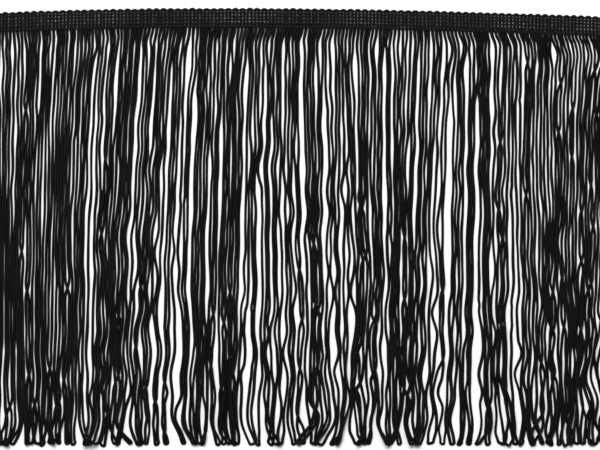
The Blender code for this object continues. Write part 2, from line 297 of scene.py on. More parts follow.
def cordPiece(name, points, wide, high, sides, closed, material):
    # one mesh of all the tubes, with a map that runs round and along each of them, in mm along
    tubes, count = points.shape[:2]
    wide = np.broadcast_to(wide, (tubes, count))
    high = np.broadcast_to(high, (tubes, count))
    rings = turnedRings(points, wide, high, sides, closed)
    steps = count if closed else count - 1
    tube = np.arange(tubes)[:, None, None] * count * sides
    here = np.arange(steps)[None, :, None]
    round0 = np.arange(sides)[None, None, :]
    round1 = (round0 + 1) % sides
    ring0 = tube + here * sides
    ring1 = tube + (here + 1) % count * sides
    quads = np.stack([ring0 + round0, ring1 + round0, ring1 + round1, ring0 + round1], axis=3).reshape(-1, 4)
    gone = np.linalg.norm(np.diff(points, axis=1, append=points[:, :1]), axis=2)
    along = np.concatenate([np.zeros((tubes, 1)), np.cumsum(gone, axis=1)], axis=1) / mm
    u0 = np.broadcast_to(round0 / sides, (tubes, steps, sides))
    u1 = u0 + 1 / sides
    v0 = np.broadcast_to(along[:, :steps, None], (tubes, steps, sides))
    v1 = np.broadcast_to(along[:, 1 : steps + 1, None], (tubes, steps, sides))
    mapped = np.stack([u0, v0, u0, v1, u1, v1, u1, v0], axis=3).reshape(-1, 4, 2)
    corners = quads.reshape(-1)
    starts = np.arange(len(quads)) * 4
    sizes = np.full(len(quads), 4)
    cornerMap = mapped.reshape(-1, 2)
    if not closed:
        first = (tube[:, 0, :] + round0[0]).reshape(-1)
        last = (tube[:, 0, :] + (count - 1) * sides + round0[0, :, ::-1]).reshape(-1)
        caps = np.concatenate([first, last])
        starts = np.concatenate([starts, len(corners) + np.arange(2 * tubes) * sides])
        sizes = np.concatenate([sizes, np.full(2 * tubes, sides)])
        corners = np.concatenate([corners, caps])
        cornerMap = np.concatenate([cornerMap, np.zeros((len(caps), 2))])
    mesh = bpy.data.meshes.new(name)
    mesh.vertices.add(tubes * count * sides)
    mesh.vertices.foreach_set("co", rings.reshape(-1))
    mesh.loops.add(len(corners))
    mesh.loops.foreach_set("vertex_index", corners)
    mesh.polygons.add(len(starts))
    mesh.polygons.foreach_set("loop_start", starts)
    mesh.polygons.foreach_set("loop_total", sizes)
    mesh.update(calc_edges=True)
    mesh.uv_layers.new(name="cordMap").data.foreach_set("uv", cornerMap.reshape(-1))
    mesh.polygons.foreach_set("use_smooth", np.ones(len(starts), dtype=bool))
    mesh.validate()
    mesh.materials.append(material)
    piece = bpy.data.objects.new(name, mesh)
    bpy.context.scene.collection.objects.link(piece)
    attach(piece, "root")
    return piece


# the skirt: it hangs much as in the CAD, in locks with open partings, with finer waves and crossings added
skirt = {
    "loops": 86,
    "loopPitch": 5.0 * mm,
    "headerHeight": 13.7 * mm,
    "drop": 289.0 * mm,
    "levels": 200,              # rings down each strand
    "sides": 8,
    "seed": 179,
    # the cord
    "cord": 1.96 * mm,          # a strand's width on average
    "cordAtFoot": 2.06 * mm,
    "swellFrom": 0.4,           # the share of the way down where it starts to widen
    "swellOver": 0.5,           # and the share over which it does
    "cordHeight": 1.45 * mm,
    "turning": 0.09,            # how much wider or narrower it looks as it turns
    "turningLength": 18.0 * mm,
    "turningMost": 2,
    "turningSeed": 9,
    "rootWidth": 2.35 * mm,     # strands are flatter and wider where they leave the header
    "flatRings": 3,
    "roundingRings": 10,
    "rootLean": 0.5,            # the share of its way aside a strand has gone as it leaves the header
    "settleLength": 10.0 * mm,  # and below it, over what length it goes the rest
    "sweepMargin": 16 * mm,     # the last strands on the right are swept aside less
    # waves, each with how far it goes and the length over which it changes
    "drift": 0.68 * mm,
    "driftGrowth": 0.29 * mm,
    "driftLengths": (90 * mm, 160 * mm),
    "driftShares": (0.4, 1),
    "driftStart": 28 * mm,
    "calmDrift": 0.5,           # the share of it left where the skirt is calm
    "longWave": 0.78 * mm,
    "longStep": 90 * mm,
    "longStart": 18 * mm,
    "midWave": 1.3 * mm,
    "midStep": 14 * mm,
    "shortWave": 0.12 * mm,
    "shortStep": 11 * mm,
    "sharedWave": 0.86 * mm,    # side by side strands sway together by this much
    "sharedStep": 16 * mm,
    "sharedReach": 1.99,        # over about this many strands to each side
    "latticeWave": 0.18 * mm,   # and apart and together again by this much
    "latticeStep": 12.11 * mm,
    "latticeReach": 1.3,
    "leastLattice": 0.07,
    "livelyStart": 14 * mm,
    # strands that swing across their neighbours
    "strayShare": 0.0,          # none here: more than 0 lets that share of them stray
    "straySize": 2.18 * mm,
    "strayDepths": (150 * mm, 300 * mm),
    "strayReaches": (12 * mm, 26 * mm),
    # the two strands of a loop, wound about each other
    "twist": 0.27,              # how much of their way apart
    "twistFrom": 0.86,          # where the skirt is livelier than this
    "twistOver": 0.5,
    "twistShares": (0.4, 1),
    "twistWidth": 4.35 * mm,
    "twistPitch": 53.16 * mm,
    "twistPitches": (0.65, 1.35),
    "twistWander": 0.12,
    "twistStep": 30 * mm,
    # bundles
    "gather": 0.2,              # how strongly strands bundle towards the foot, from 0 to 1
    "gatherPitch": 17.28 * mm,
    "gatherSizes": ((1.0, 1.0), (1.9, 0.6)),  # shares of that pitch, and of that strength
    "gatherFrom": 100 * mm,
    "gatherOver": 140 * mm,
    "gatherStep": 55 * mm,
    "gatherWander": 1.3,
    "releaseLength": 14 * mm,   # the ends come loose from their bundle again
    "releaseShare": 0.6,
    "looserFrom": 130 * mm,     # to the right of this they bundle less
    "looserOver": 30 * mm,
    "looserShare": 0.6,
    # partings
    "partingShare": 0.67,       # of the widths in the table
    "fade": 20.0 * mm,          # over what length one opens
    "slack": 3.31 * mm,         # how far a strand may stray past a closed one
    "wallWave": 0.26 * mm,
    "wallStep": 45 * mm,
    "wallStart": 60 * mm,
    "drawnIn": 5.58 * mm,       # how far the last strands on the right swing in
    "drawnInOver": 60 * mm,
    "press": 0.8,               # how firmly strands are held back from an open one
    "pressFrom": 12 * mm,
    "pressOver": 25 * mm,
    "bankWidth": 2.5 * mm,      # how near its side they are held back
    "bankLeast": 0.55,
    "lockLeast": 0.1 * mm,
    # the room a strand keeps from its neighbour where it can
    "room": 1.93 * mm,
    "roomAtFoot": 1.8 * mm,
    "roomFrom": 150 * mm,
    "roomOver": 120 * mm,
    "roomWave": 0.54 * mm,      # how uneven it is
    "roomWaveAtFoot": 0.44 * mm,
    "roomStep": 50 * mm,
    "leastRoom": 1.89 * mm,
    "mostRoom": 2.6 * mm,
    "sideRoom": 0.07,           # the share more of it near the two ends, where the skirt looks denser
    "leftSide": -105 * mm,
    "rightSide": 120 * mm,
    "sideOver": 30 * mm,
    "spread": 1.0,              # how much of that room is given
    "spreadAtFoot": 0.87,
    "secondSpread": 0.96,
    "lowerFrom": 60 * mm,       # from here down, spread and roomWave change to their values at the foot
    "lowerOver": 150 * mm,
    # crossings
    "crossing": 1.03 * mm,      # how far past its neighbour a strand is pushed before they cross
    "stayCrossed": 23,          # levels before two strands may cross again
    "crossReach": 4.0 * mm,     # along what length strands move aside or cross
    "smooth": 0.3 * mm,         # along what length their lines are evened out
    "touch": 0.86,              # the share of a cord's width at which one rests on another
    "liftReach": 3.5 * mm,
    "liftBlur": 2.2 * mm,
    # the loops' ends
    "unevenEnds": 0.5 * mm,
    "turnWidth": 2.45 * mm,     # a loop's turn, between the middles of its strands
    "turnLeast": 0.85,          # and how its width varies
    "turnMost": (1.0, 1.9),
    "turnRise": 0.8 * mm,       # how far at most it reaches below them
    "turnSteps": 7,
    "closing": (4 * mm, 11 * mm),  # over what length its strands come together
    "hook": 3.0 * mm,           # how far a loop's end swings aside
    "hookLength": 19.0 * mm,
    "hookTilt": 0.9 * mm,
    "tiltLength": 25 * mm,
}

# open partings in mm: the line's place along the header at the roots, half way down and at the foot, how far
# down it starts and stops, and how wide it opens
Parting = namedtuple("Parting", "root half foot start stop width")
partings = [Parting(*row) for row in [
    (-206, -206, -206, 215, 282, 3.0),
    (-195, -195, -196.5, 215, 285, 2.8),
    (-180, -185, -186, 5, 60, 1.8),
    (-163.5, -167, -170, 174, 243, 2.4),
    (-151, -159, -162, 70, 167, 2.0),
    (-141.5, -149.4, -151.4, 14, 255, 2.8),
    (-139, -145, -147, 14, 255, 2.4),
    (-136.5, -141.5, -143, 56, 132, 1.8),
    (-134, -138.5, -139.5, 5, 118, 3.4),
    (-129, -136, -137.5, 250, 290, 3.2),
    (-125.5, -132, -134, 15, 65, 1.8),
    (-110, -119, -123, 7, 195, 2.2),
    (-99, -107, -109, 3, 90, 1.8),
    (-91.5, -102, -102.5, 195, 271, 3.0),
    (-86, -94, -98, 21, 285, 2.4),
    (-82, -91.5, -91.5, 202, 250, 1.5),
    (-79, -85, -83, 195, 243, 1.8),
    (-76, -82, -80, 7, 125, 1.1),
    (-70, -76, -78, 42, 285, 4.0),
    (-68.5, -73, -74.5, 215, 275, 3.8),
    (-60, -65, -67, 83, 208, 2.4),
    (-53, -57, -58, 63, 285, 2.1),
    (-36, -41, -44, 21, 290, 1.6),
    (-31, -35, -37, 188, 290, 2.8),
    (-26, -29, -30, 104, 290, 3.8),
    (-23.5, -25.5, -25, 21, 222, 1.8),
    (-18, -21, -19, 56, 208, 1.6),
    (0, 2, 2, 28, 181, 2.2),
    (3.5, 6, 6.5, 139, 275, 3.4),
    (11, 11, 12, 21, 104, 1.5),
    (17, 16, 15, 49, 230, 1.8),
    (38, 41, 41, 14, 118, 1.7),
    (46.5, 45, 45, 230, 285, 2.0),
    (48, 49, 51, 21, 181, 1.5),
    (56.5, 54, 55, 205, 264, 2.2),
    (59, 59, 60, 7, 146, 1.6),
    (64, 64, 66, 7, 104, 1.5),
    (73, 70, 72, 139, 222, 2.2),
    (84, 79, 77, 14, 160, 2.4),
    (88, 82.5, 80.5, 153, 222, 2.6),
    (103.5, 99.5, 97.5, 55, 215, 3.0),
    (105.5, 102.5, 99.5, 132, 285, 2.3),
    (116, 115, 113, 14, 222, 1.7),
    (124, 122.5, 120.5, 42, 290, 4.6),
    (126, 126.5, 126, 76, 195, 2.4),
    (132, 131, 130, 7, 63, 2.0),
    (137, 137, 137, 250, 290, 3.0),
    (146, 145, 144, 125, 257, 3.0),
    (147, 149, 150, 104, 236, 2.2),
    (150, 152, 154, 42, 174, 2.0),
    (154, 156, 158, 21, 90, 1.8),
    (163, 166, 168, 14, 195, 1.8),
    (171, 174, 174, 28, 90, 2.0),
    (169, 172, 172, 222, 268, 2.2),
    (208, 203, 203, 208, 285, 2.6),
]]

# how much the strands waver: at each depth below the header in mm, a share for each place along it
livelyPlaces = [-180, -105, -35, 35, 105, 180]
livelyDepths = [10, 60, 110, 150, 200, 240, 285]
livelyShares = [
    [0.45, 0.50, 0.40, 0.30, 0.42, 0.90],
    [0.30, 0.35, 0.50, 0.35, 0.35, 0.50],
    [0.30, 0.50, 0.50, 0.60, 0.40, 0.60],
    [0.15, 0.55, 0.50, 0.65, 0.45, 0.65],
    [0.20, 0.70, 0.75, 0.95, 0.75, 0.90],
    [0.45, 0.85, 1.10, 1.15, 1.10, 1.40],
    [0.90, 1.15, 1.30, 1.40, 1.30, 1.70],
]

# how far the strands lie to one side of their roots, in mm, for places along the header
leanPlaces = [-215, -139, -69, 0, 69, 139, 215]
leans = [0, -1.5, -1.0, -4.5, 0.0, 3.5, 0]

# strands swept aside as they leave the header, in mm: middle, reach along X, shift, and where it is most
Sweep = namedtuple("Sweep", "middle reach shift depth")
sweeps = [
    Sweep(222, 80, 3.2, 13),
    Sweep(-175, 30, 1.0, 12),
    Sweep(-130, 16, 1.3, 12),
]

# where strands gather into a dark lock, in mm: place along X, depth, reach down and across, and pull
Clump = namedtuple("Clump", "place depth reachDown reachAcross pull")
clumps = [
    Clump(30.6, 252, 20, 13, 0.8),
    Clump(191, 249, 45, 14, 0.25),
    Clump(197, 185, 50, 14, 0.08),
    Clump(-126, 224, 30, 9, 0.12),
    Clump(-203, 155, 70, 12, 0.2),
    Clump(-144, 280, 26, 6, 0.2),
    Clump(70, 285, 18, 7, 0.15),
]

strandCount = 2 * skirt["loops"]
strandPitch = skirt["loopPitch"] / 2
headerLength = skirt["loops"] * skirt["loopPitch"]
header = {"crest": -52.0 * mm, "bowSquare": 0.109, "bowCube": -0.087}


def bow(x):
    # the header's line lies highest left of the middle
    along = x - header["crest"]
    crest = header["bowSquare"] * header["crest"] ** 2 - header["bowCube"] * header["crest"] ** 3
    return crest - (header["bowSquare"] * along**2 + header["bowCube"] * along**3)


headerLow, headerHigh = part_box("header_tape")
shiftX = (headerLow[0] + headerHigh[0]) / 2
shiftY = headerHigh[1] - bow(header["crest"])


def seated(points):
    # from the header's own axes to its place in the CAD
    return np.array(points) + (shiftX, shiftY, 0)


def ease(share):
    share = np.clip(share, 0, 1)
    return share * share * (3 - 2 * share)


def wander(draw, down, count, step):
    # smooth random values, one new value for each step down
    values = draw.standard_normal((int(down[-1] / step) + 5, count))
    place = down / step + 1
    knot = np.floor(place).astype(int)
    t = (place - knot)[:, None]
    a, b, c, d = values[knot - 1], values[knot], values[knot + 1], values[knot + 2]
    return 0.5 * (2 * b + (c - a) * t + (2 * a - 5 * b + 4 * c - d) * t**2 + (3 * b - a - 3 * c + d) * t**3)


def blurDown(values, reach):
    # evens values out along the strands
    half = int(math.ceil(3 * reach))
    weights = np.exp(-0.5 * (np.arange(-half, half + 1) / reach) ** 2)
    weights /= weights.sum()
    padded = np.concatenate([np.repeat(values[:1], half, 0), values, np.repeat(values[-1:], half, 0)])
    return sum(weight * padded[n : n + len(values)] for n, weight in enumerate(weights))


def spreadApart(places, least):
    # the nearest places that keep their order and stand at least that far apart
    offsets = np.concatenate([[0.0], np.cumsum(least)])
    pools = []
    for place in places - offsets:
        pools.append([place, 1])
        while len(pools) > 1 and pools[-2][0] > pools[-1][0]:
            value, count = pools.pop()
            pools[-1][0] = (pools[-1][0] * pools[-1][1] + value * count) / (pools[-1][1] + count)
            pools[-1][1] += count
    levelled = [value for value, count in pools for _ in range(count)]
    return np.array(levelled) + offsets


def slowDrifts(down):
    draw = random.Random(skirt["seed"])
    waves = np.zeros((len(down), strandCount))
    for i in range(strandCount):
        for _ in range(2):
            wave = draw.uniform(*skirt["driftLengths"])
            phase = draw.uniform(0, math.tau)
            waves[:, i] += draw.uniform(*skirt["driftShares"]) * np.sin(math.tau * down / wave + phase)
    size = (skirt["drift"] + skirt["driftGrowth"] * down / skirt["drop"]) * ease(down / skirt["driftStart"])
    return waves * size[:, None]


def liveliness(down, roots):
    # how much the strands waver, read off the table by depth and place along the header
    depths, places, shares = livelyDepths, livelyPlaces, np.array(livelyShares)
    byDepth = np.array([np.interp(down / mm, depths, shares[:, n]) for n in range(len(places))])
    shares = np.array([np.interp(roots / mm, places, byDepth[:, level]) for level in range(len(down))])
    return shares * ease(down / skirt["livelyStart"])[:, None]


def lockWalls(down, draw):
    # for each lock of strands, its first strand, and its left and right side all the way down
    rightEnd = headerLength / 2 - skirt["drawnIn"] * ease(down / skirt["drawnInOver"])
    shut = np.zeros_like(down)
    walls = {0: [shut - headerLength / 2, shut, shut], strandCount: [rightEnd, shut, shut]}
    t = 2 * down / skirt["drop"]
    for parting in partings:
        lean = np.interp(parting.root, leanPlaces, leans)
        before = round((parting.root - lean) * mm / strandPitch + strandCount / 2)
        line = parting.root * (t - 1) * (t - 2) / 2 - parting.half * t * (t - 2)
        line = line + parting.foot * t * (t - 1) / 2
        opened = ease((down - parting.start * mm) / skirt["fade"] + 0.5)
        opened = opened * ease((parting.stop * mm - down) / skirt["fade"] + 0.5)
        width = opened * parting.width / 2 * mm * skirt["partingShare"]
        if before in walls:
            width = np.maximum(width, walls[before][1])
            opened = np.maximum(opened, walls[before][2])
        walls[before] = [line * mm, width, opened]
    marks = sorted(walls)
    started = ease(down / skirt["wallStart"])[:, None]
    wave = wander(draw, down, len(marks), skirt["wallStep"]) * skirt["wallWave"] * started
    wave[:, 0] = wave[:, -1] = 0
    locks = []
    for n, (first, after) in enumerate(zip(marks, marks[1:])):
        left = walls[first][0] + walls[first][1] + wave[:, n]
        right = walls[after][0] - walls[after][1] + wave[:, n + 1]
        lowest = left + skirt["cord"] / 2 - (1 - walls[first][2]) * skirt["slack"]
        highest = right - skirt["cord"] / 2 + (1 - walls[after][2]) * skirt["slack"]
        locks.append((first, after, left, right, lowest, highest))
    return locks


def crossedOrders(places):
    # the strands' order along the header at each level: neighbours trade places only when well past each
    # other, and do not soon trade back
    order = list(range(strandCount))
    orders = []
    since = {}
    for level, row in enumerate(places):
        for n in range(strandCount - 1):
            pair = min(order[n], order[n + 1]), max(order[n], order[n + 1])
            waited = level - since.get(pair, -skirt["levels"]) > skirt["stayCrossed"]
            if waited and row[order[n]] > row[order[n + 1]] + skirt["crossing"]:
                order[n], order[n + 1] = order[n + 1], order[n]
                since[pair] = level
        orders.append(list(order))
    return np.array(orders)


def gathered(down, places, draw):
    # bundles: strands draw together about lines that wander slowly down the skirt
    pull = skirt["gather"] * ease((down - skirt["gatherFrom"]) / skirt["gatherOver"])
    released = ease((down - down[-1] + skirt["releaseLength"]) / skirt["releaseLength"])
    pull = pull * (1 - skirt["releaseShare"] * released)
    looser = ease((places - skirt["looserFrom"]) / skirt["looserOver"])
    firmness = 1 - skirt["looserShare"] * looser
    for size, strength in skirt["gatherSizes"]:
        pitch = size * skirt["gatherPitch"]
        cells = int(headerLength / pitch) + 3
        phase = wander(draw, down, cells, skirt["gatherStep"]) * skirt["gatherWander"]
        cell = (places + headerLength / 2) / pitch
        low = np.clip(np.floor(cell).astype(int), 0, cells - 2)
        level = np.arange(len(down))[:, None]
        between = ease(cell - low)
        shift = phase[level, low] * (1 - between) + phase[level, low + 1] * between
        wave = np.sin(math.tau * cell + shift)
        places = places - wave * firmness * (pull * strength)[:, None] * pitch / math.tau
    return places


def insideLocks(places, locks):
    # presses strands that stray over an open parting back to its side
    for first, after, left, right, lowest, highest in locks:
        middle = ((lowest + highest) / 2)[:, None]
        half = np.maximum((highest - lowest) / 2, skirt["lockLeast"])[:, None]
        edge = np.maximum(skirt["bankLeast"], 1 - skirt["bankWidth"] / half)
        u = (places[:, first:after] - middle) / half
        beyond = np.maximum(0, abs(u) - edge) / (1 - edge)
        kept = np.where(abs(u) < edge, u, np.sign(u) * (edge + (1 - edge) * np.tanh(beyond)))
        places[:, first:after] = middle + half * kept
    return places


def strayShifts(down, draw):
    # some strands swing across their neighbours in the lower half and lie over them
    straying = draw.uniform(0, 1, strandCount) < skirt["strayShare"]
    depths = draw.uniform(*skirt["strayDepths"], strandCount)
    reaches = draw.uniform(*skirt["strayReaches"], strandCount)
    sizes = draw.standard_normal(strandCount) * skirt["straySize"] * straying
    return sizes * np.exp(-(((down[:, None] - depths) / reaches) ** 2))


def twisted(down, places, lively, draw):
    # the two strands of a loop wind about each other where the skirt is lively
    loops = skirt["loops"]
    pitches = skirt["twistPitch"] * draw.uniform(*skirt["twistPitches"], loops)
    turns = down[:, None] / pitches + draw.uniform(0, 1, loops)
    turns = turns + skirt["twistWander"] * wander(draw, down, loops, skirt["twistStep"])
    wound = skirt["twistWidth"] / 2 * np.cos(math.tau * turns)
    share = skirt["twist"] * ease((lively[:, ::2] - skirt["twistFrom"]) / skirt["twistOver"])
    share = share * draw.uniform(*skirt["twistShares"], loops)
    middle = (places[:, ::2] + places[:, 1::2]) / 2
    half = (places[:, 1::2] - places[:, ::2]) / 2
    half = half + (wound - half) * share
    places[:, ::2] = middle - half
    places[:, 1::2] = middle + half
    return places


def strandWaves(down, lively, draw):
    # the waves that are there before strands are spread apart, and the finer sway that is added after
    waves = wander(draw, down, strandCount, skirt["longStep"]) * skirt["longWave"]
    waves = waves * ease(down / skirt["longStart"])[:, None]
    mids = wander(draw, down, strandCount, skirt["midStep"]) * skirt["midWave"]
    shared = blurDown(wander(draw, down, strandCount, skirt["sharedStep"]).T, skirt["sharedReach"]).T
    shared = shared * math.sqrt(3 * skirt["sharedReach"]) * skirt["sharedWave"]
    short = wander(draw, down, strandCount, skirt["shortStep"]) * skirt["shortWave"]
    everySecond = 1 - 2 * (np.arange(strandCount) % 2)
    lattice = blurDown(wander(draw, down, strandCount, skirt["latticeStep"]).T, skirt["latticeReach"]).T
    lattice = lattice * 2 * everySecond[None, :] * skirt["latticeWave"]
    drifting = skirt["calmDrift"] + (1 - skirt["calmDrift"]) * np.minimum(1, lively)
    waves = waves + mids * lively + slowDrifts(down) * drifting
    return waves, (shared + short) * lively + lattice * np.clip(lively, skirt["leastLattice"], 1)


def sweptAside(down, roots, places):
    for sweep in sweeps:
        t = down[:, None] / mm / sweep.depth
        near = np.exp(-(((roots[None, :] / mm - sweep.middle) / sweep.reach) ** 2))
        near = near * ease((headerLength / 2 - roots) / skirt["sweepMargin"])[None, :]
        places = places + sweep.shift * mm * near * t * np.exp(1 - t) * ease(t * 2)
    return places


def roomBetween(down, roots, draw):
    lower = ease((down - skirt["roomFrom"]) / skirt["roomOver"])[:, None]
    room = skirt["room"] + (skirt["roomAtFoot"] - skirt["room"]) * lower
    lower = ease((down - skirt["lowerFrom"]) / skirt["lowerOver"])
    uneven = skirt["roomWave"] + (skirt["roomWaveAtFoot"] - skirt["roomWave"]) * lower
    room = room + wander(draw, down, strandCount - 1, skirt["roomStep"]) * uneven[:, None]
    toSides = ease((skirt["leftSide"] - roots[1:]) / skirt["sideOver"])
    toSides = toSides + ease((roots[1:] - skirt["rightSide"]) / skirt["sideOver"])
    return np.clip(room, skirt["leastRoom"], skirt["mostRoom"]) * (1 + skirt["sideRoom"] * toSides)


def movesAside(places, orders, room, spacing):
    # how far each strand has to move to leave its neighbours that room
    aside = np.zeros_like(places)
    for level, order in enumerate(orders):
        aside[level, order] = spreadApart(places[level, order], room[level]) - places[level, order]
    return blurDown(aside, skirt["crossReach"] / spacing)


def strandPlaces(down, roots):
    # every strand's place along the header at each level
    draw = np.random.default_rng(skirt["seed"])
    spacing = down[1] - down[0]
    locks = lockWalls(down, draw)
    lively = liveliness(down, roots)
    waves, sway = strandWaves(down, lively, draw)
    places = np.zeros((len(down), strandCount))
    for first, after, left, right, lowest, highest in locks:
        for i in range(first, after):
            places[:, i] = left + (right - left) * (i - first + 0.5) / (after - first) + waves[:, i]
    places = gathered(down, insideLocks(places, locks), draw)
    settled = ease(down / skirt["settleLength"])[:, None]
    settled = skirt["rootLean"] + (1 - skirt["rootLean"]) * settled
    places = sweptAside(down, roots, roots[None, :] + (places - roots[None, :]) * settled)
    room = roomBetween(down, roots, draw)
    orders = crossedOrders(places)
    lower = ease((down - skirt["lowerFrom"]) / skirt["lowerOver"])[:, None]
    spread = skirt["spread"] + (skirt["spreadAtFoot"] - skirt["spread"]) * lower
    places = places + movesAside(places, orders, room, spacing) * spread
    pressed = insideLocks(places.copy(), locks)
    pressing = ease((down - skirt["pressFrom"]) / skirt["pressOver"])[:, None]
    places = places + (pressed - places) * skirt["press"] * pressing
    places = places + movesAside(places, orders, skirt["secondSpread"] * room, spacing) * spread
    places = blurDown(places, skirt["smooth"] / spacing) + strayShifts(down, draw) * lively
    for clump in clumps:
        away = places - clump.place * mm
        depth = (down[:, None] / mm - clump.depth) / clump.reachDown
        places = places - clump.pull * away * np.exp(-(depth**2) - (away / mm / clump.reachAcross) ** 2)
    return twisted(down, places, lively, draw) + sway * settled


def bendLoopEnds(down, places):
    # brings a loop's two strands together at its turn, and swings many of the ends aside
    draw = np.random.default_rng(skirt["seed"] + 3)
    lengths = draw.uniform(*skirt["closing"], skirt["loops"])
    hooking = np.clip((down - down[-1] + skirt["hookLength"]) / skirt["hookLength"], 0, 1) ** 2
    swings = draw.standard_normal(skirt["loops"]) * skirt["hook"]
    apart = abs(places[-1, 1::2] - places[-1, ::2])
    widest = skirt["turnWidth"] * draw.uniform(*skirt["turnMost"], skirt["loops"])
    widths = np.clip(apart, skirt["turnLeast"] * skirt["turnWidth"], widest)
    for loop in range(skirt["loops"]):
        left, right = places[:, 2 * loop].copy(), places[:, 2 * loop + 1].copy()
        middle = (left + right) / 2 + swings[loop] * hooking
        half = (right - left) / 2
        closing = ease((down - down[-1] + lengths[loop]) / lengths[loop])
        sign = 1.0 if half[-1] >= 0 else -1.0
        half = half + (sign * widths[loop] / 2 - half) * closing
        places[:, 2 * loop] = middle - half
        places[:, 2 * loop + 1] = middle + half
    return places


def stackedHeights(places, spacing):
    # each strand rests on the floor and on the strands that were laid before it
    touch = skirt["cord"] * skirt["touch"]
    floor = skirt["cordHeight"] / 2
    reach = int(round(skirt["liftReach"] / spacing))
    rest = np.full(places.shape, floor)
    order = np.random.default_rng(skirt["seed"] + 5).permutation(strandCount)
    for n, strand in enumerate(order[1:], start=1):
        laid = order[:n]
        gap = abs(places[:, laid] - places[:, [strand]])
        lift = np.where(gap < touch, rest[:, laid] + np.sqrt(np.maximum(0, touch**2 - gap**2)), 0).max(axis=1)
        wanted = np.maximum(floor, lift)
        padded = np.concatenate([np.repeat(wanted[:1], reach), wanted, np.repeat(wanted[-1:], reach)])
        raised = np.max([padded[k : k + len(wanted)] for k in range(2 * reach + 1)], axis=0)
        rest[:, strand] = blurDown(raised[:, None], skirt["liftBlur"] / spacing)[:, 0]
    return rest


def loopLines(down, places, heights, roots):
    # every loop's middle line: down one strand, round its turn and up the next
    draw = random.Random(skirt["seed"] + 1)
    uneven = skirt["unevenEnds"]
    drops = [skirt["drop"] + draw.uniform(-uneven, uneven / 2) for _ in range(skirt["loops"])]
    tilts = np.random.default_rng(skirt["seed"] + 7).standard_normal(skirt["loops"]) * skirt["hookTilt"]
    angles = math.pi * (np.arange(skirt["turnSteps"]) + 1) / (skirt["turnSteps"] + 1)
    share = down / down[-1]
    tilting = ease((down - down[-1] + skirt["tiltLength"]) / skirt["tiltLength"])
    lines = []
    for loop in range(skirt["loops"]):
        ends = places[-1, 2 * loop], places[-1, 2 * loop + 1]
        radius = abs(ends[1] - ends[0]) / 2
        rise = min(radius, skirt["turnRise"])
        footY = -skirt["headerHeight"] - drops[loop] + rise
        sides = []
        for strand, tilt in ((2 * loop, tilts[loop]), (2 * loop + 1, -tilts[loop])):
            rootY = -skirt["headerHeight"] + bow(roots[strand])
            y = rootY - down + share * (footY - rootY + down[-1]) + tilt * tilting
            sides.append(np.stack([places[:, strand], y, heights[:, strand]], axis=1))
        start, end = sides[0][-1], sides[1][-1]
        middle = (start + end) / 2
        arm = (start - end) / 2
        outward = np.array([-arm[1], arm[0], 0.0]) * rise / radius
        if outward[1] > 0:
            outward = -outward
        turn = middle + np.cos(angles)[:, None] * arm + np.sin(angles)[:, None] * outward
        lines.append(np.concatenate([sides[0], turn, sides[1][::-1]]))
    return seated(lines)


down = np.linspace(0, skirt["drop"] - skirt["turnWidth"], skirt["levels"])
roots = (np.arange(strandCount) - (strandCount - 1) / 2) * strandPitch
places = bendLoopEnds(down, strandPlaces(down, roots))
heights = stackedHeights(places, down[1] - down[0])
print("the skirt is laid out, highest strand", round(float(heights.max()) / mm, 2), "mm")
lines = loopLines(down, places, heights, roots)

# the cord inside the header, where each strand lies flat until it leaves it
weft = {
    "partingLine": 11.725 * mm,
    "levels": 10,               # rings along each run between the parting line and a turn
    "sides": 8,
    "height": 1.2 * mm,
    "middle": 0.85 * mm,
    "width": 2.15 * mm,
    "looseWidth": 1.76 * mm,
    "turnDepth": 0.85 * mm,     # the turns at the scalloped edge are low and broad
    "turnWidth": 2.3 * mm,
    "turnTopWidth": 1.9 * mm,
    "turnSteps": 9,
    "turnGap": 0.1 * mm,
    "cutDepth": 1.7 * mm,       # where the cord is cut off at the header's two ends
    "rootRings": 4,
    "lastRoot": 0.5 * mm,
    "unevenLines": 0.10 * mm,   # how far its runs bow to one side
    "unevenTurns": 0.11 * mm,   # how far its turns stand in or out
    "mostUneven": 0.2 * mm,
    "unevenWidth": 0.05 * mm,
    "seed": 23,
}


def addRoots(lines):
    # the flat rings that lead each strand out of the header
    lead = []
    inHeader = skirt["headerHeight"] - weft["partingLine"]
    inside = np.stack([roots[::2], roots[1::2]], axis=1) + shiftX
    for y in np.linspace(inHeader, weft["lastRoot"], weft["rootRings"]):
        ring = lines[:, [0, -1]].copy()
        ring[..., 0] += (inside - ring[..., 0]) * ease(y / inHeader)
        ring[..., 1] += y
        ring[..., 2] = weft["middle"]
        lead.append(ring)
    before = np.stack([ring[:, 0] for ring in lead], axis=1)
    after = np.stack([ring[:, 1] for ring in lead[::-1]], axis=1)
    return np.concatenate([before, lines, after], axis=1)


def buildSkirt(lines):
    steps = lines.shape[1]
    fromEnd = np.minimum(np.arange(steps), np.arange(steps)[::-1])
    rounded = ease((fromEnd - skirt["flatRings"]) / skirt["roundingRings"])
    ringPlaces = np.arange(steps) * (down[1] - down[0])
    draw = np.random.default_rng(skirt["turningSeed"])
    turned = wander(draw, ringPlaces, skirt["loops"], skirt["turningLength"]).T
    uneven = 1 + skirt["turning"] * np.clip(turned, -skirt["turningMost"], skirt["turningMost"])
    swelling = ease((fromEnd / fromEnd.max() - skirt["swellFrom"]) / skirt["swellOver"])
    cordWidth = skirt["cord"] + (skirt["cordAtFoot"] - skirt["cord"]) * swelling
    wide = (skirt["rootWidth"] + (cordWidth - skirt["rootWidth"]) * rounded)[None, :] * uneven
    high = (weft["height"] + (skirt["cordHeight"] - weft["height"]) * rounded)[None, :] / uneven
    third = math.ceil(skirt["loops"] / 3)
    for name, start in (("skirtLeft", 0), ("skirtMiddle", third), ("skirtRight", 2 * third)):
        part = slice(start, min(start + third, skirt["loops"]))
        piece = cordPiece(name, lines[part], wide[part], high[part], skirt["sides"], False, cordMaterial)
        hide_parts("fringe_skirt")


